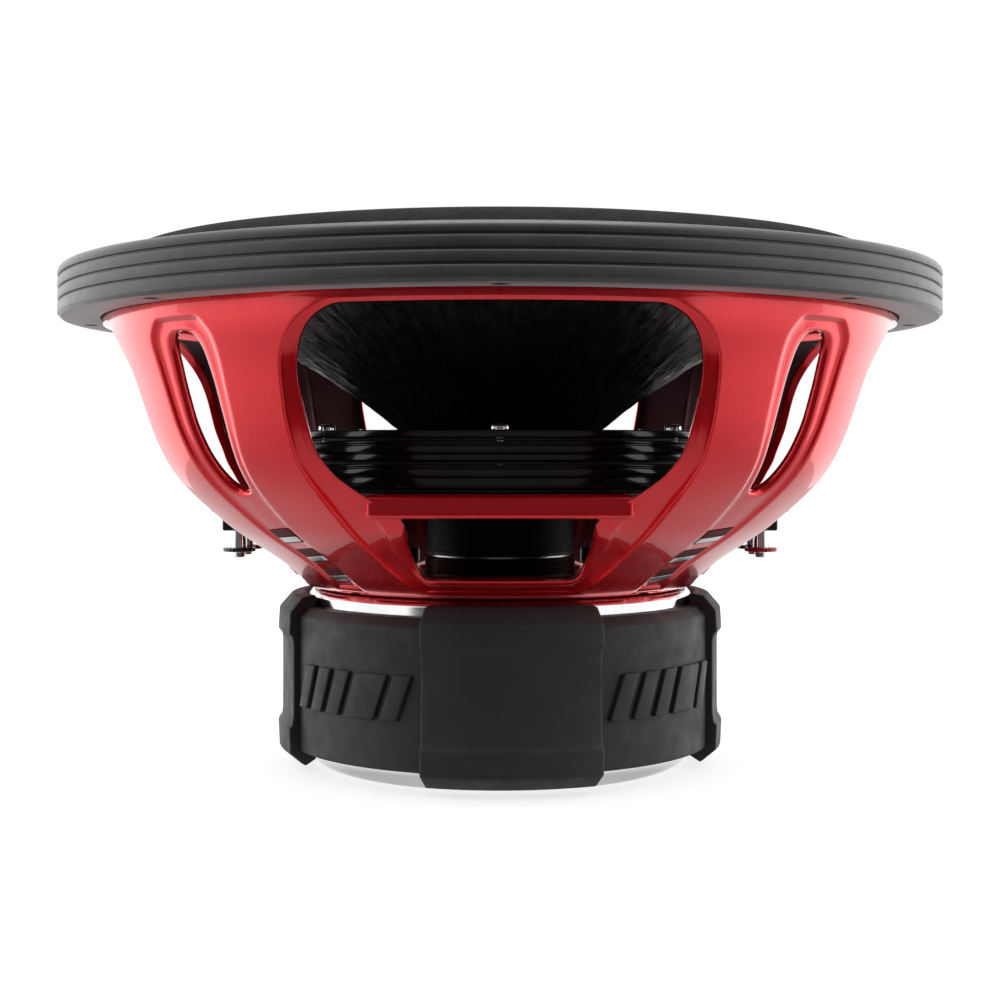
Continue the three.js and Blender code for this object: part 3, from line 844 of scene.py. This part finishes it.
def buildCone():
    form = coneForm
    inner, outer = form["back"][0][0], form["back"][-1][0]
    radii = [inner + (outer - inner) * i / form["rows"] for i in range(form["rows"] + 1)]
    back = [(r, coneHeight(r)) for r in radii]
    front = [(r, z + form["thickness"] * 1.17) for r, z in back]
    cone = spun("cone", back + front[::-1], 480)
    for vertex in cone.data.vertices:  # the felted back is lumpy, the front is calmer
        co = vertex.co
        r = hypot(co.x, co.y) / mm
        fade = min(1, max(0, (r - form["calmInside"]) / 10)) * min(1, max(0, (form["calmOutside"] - r) / 8))
        under = co.z / mm < coneHeight(r) + form["thickness"] * 0.6
        size = form["wrinkle"] * (1 if under else form["frontWrinkle"]) * mm * fade
        spoke = Vector((co.x / r / mm * form["spokes"], co.y / r / mm * form["spokes"], r * 0.06))
        rough = noise.fractal(spoke, 1.0, 2.1, 5) + 0.4 * noise.fractal(co * 150, 1.0, 2.0, 3)
        co.z -= abs(rough) * size if under else rough * size * 0.5
    smooth(cone, 60)
    fitted(cone, conePaper(), coneBody, ["cone"])
    cone.data.materials.append(facePaper)  # the front is pressed smoother than the back
    for face in cone.data.polygons:
        face.material_index = 1 if face.normal.z > 0.2 else 0


capForm = {"thickness": 1.2, "steps": 26}


def buildDustCap():
    radius, bottom, top = reach("dust_cap")
    wall, steps = capForm["thickness"], capForm["steps"]
    rise = top - bottom
    dome = (radius ** 2 + rise ** 2) / (2 * rise)
    half = degrees(asin(radius / dome))
    outer = arcPoints(0, top - dome, dome, 90 - half, 90, steps)
    inner = arcPoints(0, top - dome, dome - wall, 90, 90 - half, steps)
    outer[-1], inner[0] = (0, top), (0, top - wall)
    lathed("dustCap", outer + inner, facePaper, ["dust_cap"], coneBody, angle=60)


coilForm = {"wirePitch": 0.68, "wireRound": 0.1, "windingBase": 33.75, "bore": 32.5, "formerBore": 31.75,
            "collarBead": [(0.5, 0), (0.7, 0.9), (0.5, 1.9), (0, 2.6)]}


def buildCoil():
    form = coilForm
    bore, edge, base = form["bore"], form["wireRound"], form["windingBase"]
    radius, bottom, top = reach("voice_coil_winding")
    turns = int((top - bottom) / form["wirePitch"])
    pitch = (top - bottom) / turns
    section = []
    for i in range(turns):
        z = bottom + i * pitch
        section += [(base, z), (radius - edge, z + pitch * 0.25), (radius, z + pitch * 0.5),
                    (radius - edge, z + pitch * 0.75)]
    section += [(base, top), (bore, top), (bore, bottom)]
    lathed("voiceCoilWinding", section, woundCopper(), ["voice_coil_winding"], coneBody, 120,
           angle=60)
    outer, low, high = reach("former_collar")
    section = [(bore, low)] + [(outer + r, low + z) for r, z in form["collarBead"]] + [(outer, high), (bore, high)]
    lathed("formerCollar", section, resinWrap(), ["former_collar"], coneBody, 120, angle=40)
    outer, low, high = reach("voice_coil_former")
    bore = form["formerBore"]
    section = [(bore, low), (outer, low), (outer, high), (bore, high)]
    lathed("voiceCoilFormer", section, bareAluminium(), ["voice_coil_former"], coneBody, 120)


# spider stack

spiderForm = {"thickness": 0.8, "edge": 107.4, "flatFrom": 95, "wavesFrom": 44, "waves": 7, "rise": 2.1,
              "neck": 33.4, "neckRise": 1.5, "follows": 58}


spiderLevels = {  # piece, height at the edge, height at the neck
    "spider_lower": ("spiderLower", 123.1, 123.1),
    "spider_middle": ("spiderMiddle", 134.3, 129.5),
    "spider_upper": ("spiderUpper", 143.7, 134.6),
}


def spiderSection(lip, neckHeight):
    form = spiderForm
    samples = form["waves"] * 12
    line = [(form["neck"], neckHeight), (form["neck"] + 2, neckHeight + 0.2)]
    for i in range(samples + 1):
        share = i / samples
        r = form["wavesFrom"] + (form["flatFrom"] - form["wavesFrom"]) * share
        settle = min(1, share * 5)
        ease = min(1, share * form["waves"], (1 - share) * form["waves"] * 1.5)
        base = neckHeight + form["neckRise"] + (lip - neckHeight - form["neckRise"]) * settle
        line.append((r, base + form["rise"] * ease * sin(share * form["waves"] * 2 * pi)))
    line.append((form["edge"], lip))
    return line + [(r, z + form["thickness"]) for r, z in line[::-1]]


def buildSpiders():
    cloth = spiderCloth()
    for name, (piece, lip, neck) in spiderLevels.items():
        spider = smooth(spun(piece, spiderSection(lip, neck), 160), 60)
        bentByCone(spider, cloth, [name],
                   lambda r: (spiderForm["flatFrom"] - r) / spiderForm["follows"])


spacerForm = {
    "bore": 94,
    "neck": 104.5,
    "groove": 104.1,
    "inset": 0.6,
    "waists": {"spider_spacer_lower": ("spacerLower", 129.6), "spider_spacer_upper": ("spacerUpper", 139)},
}


def buildSpacers():
    form = spacerForm
    bore, neck, groove = form["bore"], form["neck"], form["groove"]
    satin = glossBlack("spacerPlastic", 0.12)
    for name, (piece, waist) in form["waists"].items():
        radius, bottom, top = reach(name)
        inset = radius - form["inset"]
        section = [(bore, bottom), (neck, bottom), (neck, waist - 0.7), (groove, waist - 0.5), (groove, waist),
                   (radius, waist), (radius, top - 1.7), (inset, top - 1.5), (inset, top - 0.9),
                   (radius, top - 0.7), (radius, top), (bore, top)]
        lathed(piece, section, satin, [name], edge=0.3, angle=40)
    radius, bottom, top = reach("spider_clamp_ring")
    lathed("spiderClampRing", [(bore, bottom), (radius, bottom), (radius, top), (bore, top)], blackGloss,
           ["spider_clamp_ring"], edge=0.7, segments=3, angle=40)


screwForm = {"headRadius": 3.5, "headTall": 2.4, "dome": 1.6, "shank": 1.75, "point": 1.2, "seat": 148.25,
             "tip": 115.2, "recess": (4.2, 0.9, 2.4)}


def copyScrews(screw, node, piece, count, material):
    for number in range(1, count + 1):
        twin = copied(screw, f"{piece}{number}", *middleOf(f"{node}_{number}"))
        fitted(twin, material, replaces=[f"{node}_{number}"])
    bpy.data.objects.remove(screw)


def buildStackScrews():
    form = screwForm
    head, tip, shank, seat, dome = form["headRadius"], form["tip"], form["shank"], form["seat"], form["dome"]
    top = seat + form["headTall"]
    section = [(0, tip), (form["point"], tip), (shank, tip + 1), (shank, seat), (head, seat)]
    screw = spun("screwBlank", section + arcPoints(head - dome, top - dome, dome, 0, 90, 4) + [(0, top)], 32)
    for turn in (0, 90):  # the cross
        cutAway(screw, block("arm", form["recess"], (0, 0, top), 0.1, turn))
    smooth(screw, 35)
    copyScrews(screw, "spacer_screw", "stackScrew", 8, chrome)


baseScrewForm = {"shank": 3, "head": 5, "seat": 86.8, "chamfer": 0.6, "socket": 2.9, "socketDepth": 3}


def buildBaseScrews():
    form = baseScrewForm
    shank, head, seat, ease = form["shank"], form["head"], form["seat"], form["chamfer"]
    low, high = nodeBox("basket_screw_1")
    bottom, top = low[2], high[2]
    section = [(0, bottom), (shank, bottom), (shank, seat), (head, seat), (head, top - ease), (head - ease, top),
               (0, top)]
    screw = spun("capBlank", section, 48)
    cutAway(screw, rod("socket", form["socket"], top - form["socketDepth"], top + 1, sides=6))
    smooth(screw, 35)
    copyScrews(screw, "basket_screw", "basketScrew", 4, blackSteel())


# motor: plates, magnets and boot

plateForm = {"corner": 8, "pole": 30.9, "vent": 13, "flare": 16, "backTop": 10, "gap": 35.6, "chamfer": 2.5}


def buildPlates():
    form = plateForm
    radius, bottom, top = reach("yoke")
    corner, pole, bore, wide = form["corner"], form["pole"], form["vent"], form["flare"]
    back = arcPoints(radius - corner, bottom + corner, corner, -90, 0, 10)
    section = [(wide + 1, bottom)] + back + [(radius, form["backTop"]), (pole, form["backTop"]), (pole, top - 1),
                                             (pole - 1, top), (wide, top), (bore, top - 8), (bore, 7)]
    lathed("yoke", section, chrome, ["yoke"], edge=0.4, edgeAngle=40, angle=30)
    radius, bottom, top = reach("top_plate")
    gap, ease = form["gap"], form["chamfer"]
    section = [(gap, bottom), (radius, bottom), (radius, top - ease), (radius - ease, top), (gap, top)]
    lathed("topPlate", section, chrome, ["top_plate"], edge=0.4, segments=3, angle=30)


bootForm = {
    "turn": 3,
    "half": 22,  # half of a panel's width, in degrees
    "sleeve": [(87.3, 8.9), (94.6, 8.9), (95.6, 9.9), (95.6, 67.6), (91.6, 71.6), (87.3, 71.6), (87.3, 67.3),
               (90.4, 64.1), (90.4, 10)],
    "panel": [(88, 5.6), (93, 2.7), (100, 8.6), (100.5, 19.4), (99.1, 20.6), (98.5, 25), (98.5, 56.2),
              (99.1, 59.4), (100.5, 60.4), (100, 69.8), (94.5, 76.1), (88.7, 77), (87.5, 75), (91, 66), (91, 12)],
    "sleeveRadius": 95.6,
    "bars": [(-34.5, 8), (-23, 8), (-11.5, 8), (0, 16), (19, 8)],  # left edge and width of each slanted bar
    "barLow": 29.5,
    "barHigh": 48.5,
    "barSlant": 7,
    "barProud": 2.0,
    "barRoot": 1.2,
}


def buildBoot():
    rubber = bootRubber()
    lathed("magnetBoot", bootForm["sleeve"], rubber, ["magnet_boot"], steps=240, edge=0.6,
           segments=3)
    for number in range(4):
        start = 90 * number + bootForm["turn"] - bootForm["half"] - 90
        panel = spun(f"bootPanel{number + 1}", bootForm["panel"], 40, 2 * bootForm["half"], start)
        bevelled(panel, 0.7, 3, 25)
        fitted(smooth(panel, 35), rubber)
        buildBadge(number, rubber)


def buildBadge(number, rubber):
    low, high, slant = bootForm["barLow"], bootForm["barHigh"], bootForm["barSlant"]
    turn = 90 * number + 45 + bootForm["turn"] - 90
    bars = []
    for index, (left, width) in enumerate(bootForm["bars"]):
        corners = [(left, low), (left + width, low), (left + width + slant, high), (left + slant, high)]
        bars.append(badgeBar(f"bar{number}{index}", corners, turn))
    fitted(smooth(joined(bars, f"bootBadge{number + 1}"), 40), rubber)


def badgeBar(name, corners, turn):  # a slanted bar, wrapped on the sleeve
    deselectAll()
    bpy.ops.mesh.primitive_cube_add(size=1)
    bar = named(bpy.context.object, name)
    for vertex in bar.data.vertices:
        high, right = vertex.co.z > 0, vertex.co.x > 0
        x, z = corners[(2 if right else 3) if high else (1 if right else 0)]
        r = bootForm["sleeveRadius"] + (-bootForm["barRoot"] if vertex.co.y > 0 else bootForm["barProud"])
        angle = x / bootForm["sleeveRadius"]
        vertex.co = (r * cos(angle) * mm, r * sin(angle) * mm, z * mm)
    closeUp(bar)
    bevelled(bar, 0.7, 3)
    return turned(bar, turn)


# terminals

postForm = {"radius": 3.45, "tall": 17.6, "roof": 2, "bore": 2.9, "grooves": (100.6, 101.8), "grooveRadius": 3.1,
            "cap": 2.6, "collarBore": 3.75, "collarRidges": 24, "knurlFrom": 6, "knurl": 0.955}


def buildTerminals():
    form = postForm
    outer, groove, bore = form["radius"], form["grooveRadius"], form["bore"]
    redCollar = redPlastic()
    for side in ("right", "left"):
        name = f"terminal_block_{side}"
        low, high = nodeBox(name)
        size = [high[i] - low[i] for i in range(3)]
        middle = [(high[i] + low[i]) / 2 for i in range(3)]
        body = block(f"terminalBlock_{side}", size, middle, 1.0)
        fitted(smooth(body, 40), blackGloss, replaces=[name])
    for number in range(1, 5):
        name = f"terminal_barrel_{number}"
        x, y = middleOf(name)
        foot = nodeBox(name)[0][2]
        top = foot + form["tall"]
        under = top - form["roof"]
        section = [(bore, foot), (groove, foot), (outer, foot + 0.4)]
        for z in form["grooves"]:
            section += [(outer, z - 0.3), (groove, z - 0.15), (groove, z + 0.15), (outer, z + 0.3)]
        section += [(outer, top), (0, top), (0, under), (bore, under)]
        post = moved(spun("postBlank", section, 40), x, y)
        smooth(post, 35)
        named(post, f"postBarrel{number}")
        fitted(post, chrome, replaces=[name])
        buildCollar(number, redCollar if number in (1, 3) else blackGloss)
        name = f"terminal_cap_{number}"
        low, high = (corner[2] for corner in nodeBox(name))
        wide = form["cap"]
        section = [(0, low), (wide - 1, low), (wide - 0.3, low + 0.3), (wide, low + 0.9), (wide, high), (0, high)]
        cap = moved(spun("capBlank", section, 32), x, y)
        smooth(cap, 35)
        named(cap, f"pushCap{number}")
        fitted(cap, chrome, f"push_cap_{number}", [name])


def buildCollar(number, material):
    form = postForm
    name = f"terminal_collar_{number}"
    low, high = nodeBox(name)
    radius = (high[1] - low[1]) / 2
    bore, ridges = form["collarBore"], form["collarRidges"]
    section = [(bore, low[2]), (radius, low[2]), (radius, high[2]), (bore, high[2])]
    collar = spun("collarBlank", section, ridges * 2)
    for vertex in collar.data.vertices:  # a knurled edge
        r = hypot(vertex.co.x, vertex.co.y)
        step = round(atan2(vertex.co.y, vertex.co.x) / (pi / ridges))
        if r > form["knurlFrom"] * mm and step % 2:
            vertex.co.x *= form["knurl"]
            vertex.co.y *= form["knurl"]
    bevelled(collar, 0.25, 2, 50)
    moved(collar, *middleOf(name))
    smooth(collar, 30)
    named(collar, f"postCollar{number}")
    fitted(collar, material, replaces=[name])


leadForm = {"stops": [(105.7, 109), (93.7, 109.4), (80, 108.6), (58, 111), (43, 115.6), (34.8, 117)],
            "radius": 1.1, "drawInFrom": 58, "drawIn": 0.14, "bendFrom": 100, "bendSpan": 62}


def buildLeads():
    form = leadForm
    braid = braidedCopper()
    for number in range(1, 5):
        low, high = nodeBox(f"tinsel_lead_{number}")
        side = 1 if low[0] + high[0] > 0 else -1
        y = (low[1] + high[1]) / 2
        outerY = high[1] - 1.2 if y > 0 else low[1] + 1.2
        stops = form["stops"]
        deselectAll()
        bpy.ops.curve.primitive_bezier_curve_add()
        lead = named(bpy.context.object, f"tinselLead{number}")
        points = lead.data.splines[0].bezier_points
        points.add(len(stops) - 2)
        for point, (r, z) in zip(points, stops):
            share = min(1, max(0, (form["drawInFrom"] - r) / 24))
            point.co = (side * r * mm, outerY * (1 - form["drawIn"] * share) * mm, z * mm)
            point.handle_left_type = point.handle_right_type = "AUTO"
        lead.data.bevel_depth = form["radius"] * mm
        lead.data.bevel_resolution = 3
        lead.data.use_fill_caps = True
        makeActive(lead)
        bpy.ops.object.convert(target="MESH")
        closeUp(lead)
        smooth(lead, 60)
        bentByCone(lead, braid, [f"tinsel_lead_{number}"],
                   lambda r: (form["bendFrom"] - r) / form["bendSpan"])


springForm = {"wire": 0.35, "turns": 4, "wireSides": 8, "stepsPerTurn": 20}


def buildSprings():  # each coil is pressed shut by its cap
    form = springForm
    wire = form["wire"]
    metal = chromePlate("springWire", 0.3, (0.6, 0.6, 0.61))
    for number in range(1, 5):
        name = f"terminal_spring_{number}"
        low, high = nodeBox(name)
        x, y = middleOf(name)
        foot, head = low[2] + wire, high[2] - wire
        spot = ((high[0] - low[0]) / 2 * mm - wire * mm, 0, foot * mm)
        deselectAll()
        bpy.ops.mesh.primitive_circle_add(vertices=form["wireSides"], radius=wire * mm, location=spot,
                                          rotation=(radians(90), 0, 0))
        spring = setPlace(named(bpy.context.object, f"postSpring{number}"))
        coil = spring.modifiers.new("coil", "SCREW")
        coil.steps = coil.render_steps = form["stepsPerTurn"]
        coil.iterations = form["turns"]
        coil.screw_offset = (head - foot) / form["turns"] * mm
        coil.use_normal_calculate = True
        applyAll(spring)
        bpy.ops.object.mode_set(mode="EDIT")
        bpy.ops.mesh.select_all(action="SELECT")
        bpy.ops.mesh.fill_holes(sides=0)
        bpy.ops.mesh.normals_make_consistent(inside=False)
        bpy.ops.object.mode_set(mode="OBJECT")
        smooth(moved(spring, x, y), 50)
        fitted(spring, metal, None, [name])
        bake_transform(spring, frameBody, f"push_cap_{number}", start=(x * mm, y * mm, head * mm),
                 end=(x * mm, y * mm, foot * mm))


def dressHidden():
    ferrite = ferriteBlock()
    for name in ("magnet_lower", "magnet_upper"):
        fitted(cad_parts[name], ferrite, None)
    fitted(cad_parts["shorting_ring"], bareAluminium(), None)


buildGasket()
buildSurround()
print("rim built")
buildCone()
buildDustCap()
buildCoil()
print("cone and coil built")
buildSpiders()
buildSpacers()
buildStackScrews()
buildBaseScrews()
print("spider stack built")
buildPlates()
buildBoot()
print("motor built")
buildTerminals()
buildLeads()
buildSprings()
dressHidden()
print("terminals built")


# studio

studio = {
    "cameraPlace": (0, -0.7644, 0.1383),
    "lens": 60.1,
    "shiftY": -0.046,
    "tent": 1.15,  # strength of the white tent behind and beside the speaker
    "dark": 0.12,  # strength of the dark cloth in front of it
    "clothEdge": (0.56, 0.66),  # where the cloth gives way to the tent
    "below": 0.45,  # share of the tent's light that comes up from the floor
    "floorSize": 14,
    "floorLevel": -0.0003,
    "floorGlow": 0.72,
}

lights = {  # place, aim, width, height, power
    "sideLeft": ((-1.2, 0.7, 0.3), (0, 0, 0.15), 1.4, 1.6, 5),
    "sideRight": ((1.2, 0.7, 0.3), (0, 0, 0.15), 1.4, 1.6, 5),
    "overhead": ((0, -0.3, 1.5), (0, 0, 0.1), 1.4, 1.0, 18),
}


def buildTent():
    world = bpy.data.worlds.new("studio")
    world.use_nodes = True
    nodes, links = world.node_tree.nodes, world.node_tree.links
    inside = nodes["Background"]
    outside = nodes.new("ShaderNodeBackground")  # what the lens sees past the speaker
    mix = nodes.new("ShaderNodeMixShader")
    path = nodes.new("ShaderNodeLightPath")
    split = nodes.new("ShaderNodeSeparateXYZ")
    edge = nodes.new("ShaderNodeMapRange")
    edge.interpolation_type = "SMOOTHSTEP"
    low = nodes.new("ShaderNodeMapRange")
    dimmed = nodes.new("ShaderNodeMath")
    dimmed.operation = "MULTIPLY"
    near, far = studio["clothEdge"]
    for node, values in ((edge, (-far, -near, studio["dark"], studio["tent"])),
                         (low, (-0.6, -0.1, studio["below"], 1))):
        for name, value in zip(("From Min", "From Max", "To Min", "To Max"), values):
            node.inputs[name].default_value = value
    for background in (inside, outside):
        background.inputs["Color"].default_value = (1, 1, 1, 1)
    links.new(nodes.new("ShaderNodeTexCoord").outputs["Generated"], split.inputs["Vector"])
    links.new(split.outputs["Y"], edge.inputs["Value"])
    links.new(split.outputs["Z"], low.inputs["Value"])
    links.new(edge.outputs["Result"], dimmed.inputs[0])
    links.new(low.outputs["Result"], dimmed.inputs[1])
    links.new(dimmed.outputs["Value"], inside.inputs["Strength"])
    links.new(path.outputs["Is Camera Ray"], mix.inputs["Fac"])
    links.new(inside.outputs["Background"], mix.inputs[1])
    links.new(outside.outputs["Background"], mix.inputs[2])
    links.new(mix.outputs["Shader"], nodes["World Output"].inputs["Surface"])
    bpy.context.scene.world = world


def buildStudio():
    bpy.ops.object.camera_add(location=studio["cameraPlace"], rotation=(radians(90), 0, 0))
    camera = bpy.context.object
    camera.data.lens = studio["lens"]
    camera.data.shift_y = studio["shiftY"]
    camera.data.dof.use_dof = False
    bpy.context.scene.camera = camera
    for name, (spot, aim, width, height, power) in lights.items():
        direction = Vector(aim) - Vector(spot)
        turn = direction.to_track_quat("-Z", "Y").to_euler()
        bpy.ops.object.light_add(type="AREA", location=spot, rotation=turn)
        light = bpy.context.object
        light.name = name
        light.data.shape = "RECTANGLE"
        light.data.size, light.data.size_y = width, height
        light.data.energy = power
    bpy.ops.mesh.primitive_plane_add(size=studio["floorSize"], location=(0, 0, studio["floorLevel"]))
    floor = named(bpy.context.object, "floor")
    pale = newMaterial("paleFloor", (0.5, 0.5, 0.5), 0.8, specular=0.2)
    shaderOf(pale).inputs["Emission Color"].default_value = (1, 1, 1, 1)
    shaderOf(pale).inputs["Emission Strength"].default_value = studio["floorGlow"]
    roughBy(pale, noiseOf(pale, 3, 2), 0.75, 0.85)
    floor.data.materials.append(pale)
    floor.visible_glossy = floor.visible_diffuse = False  # the tent lights the underside
    buildTent()
    bpy.context.scene.view_settings.view_transform = "Standard"


buildStudio()
print("studio built")
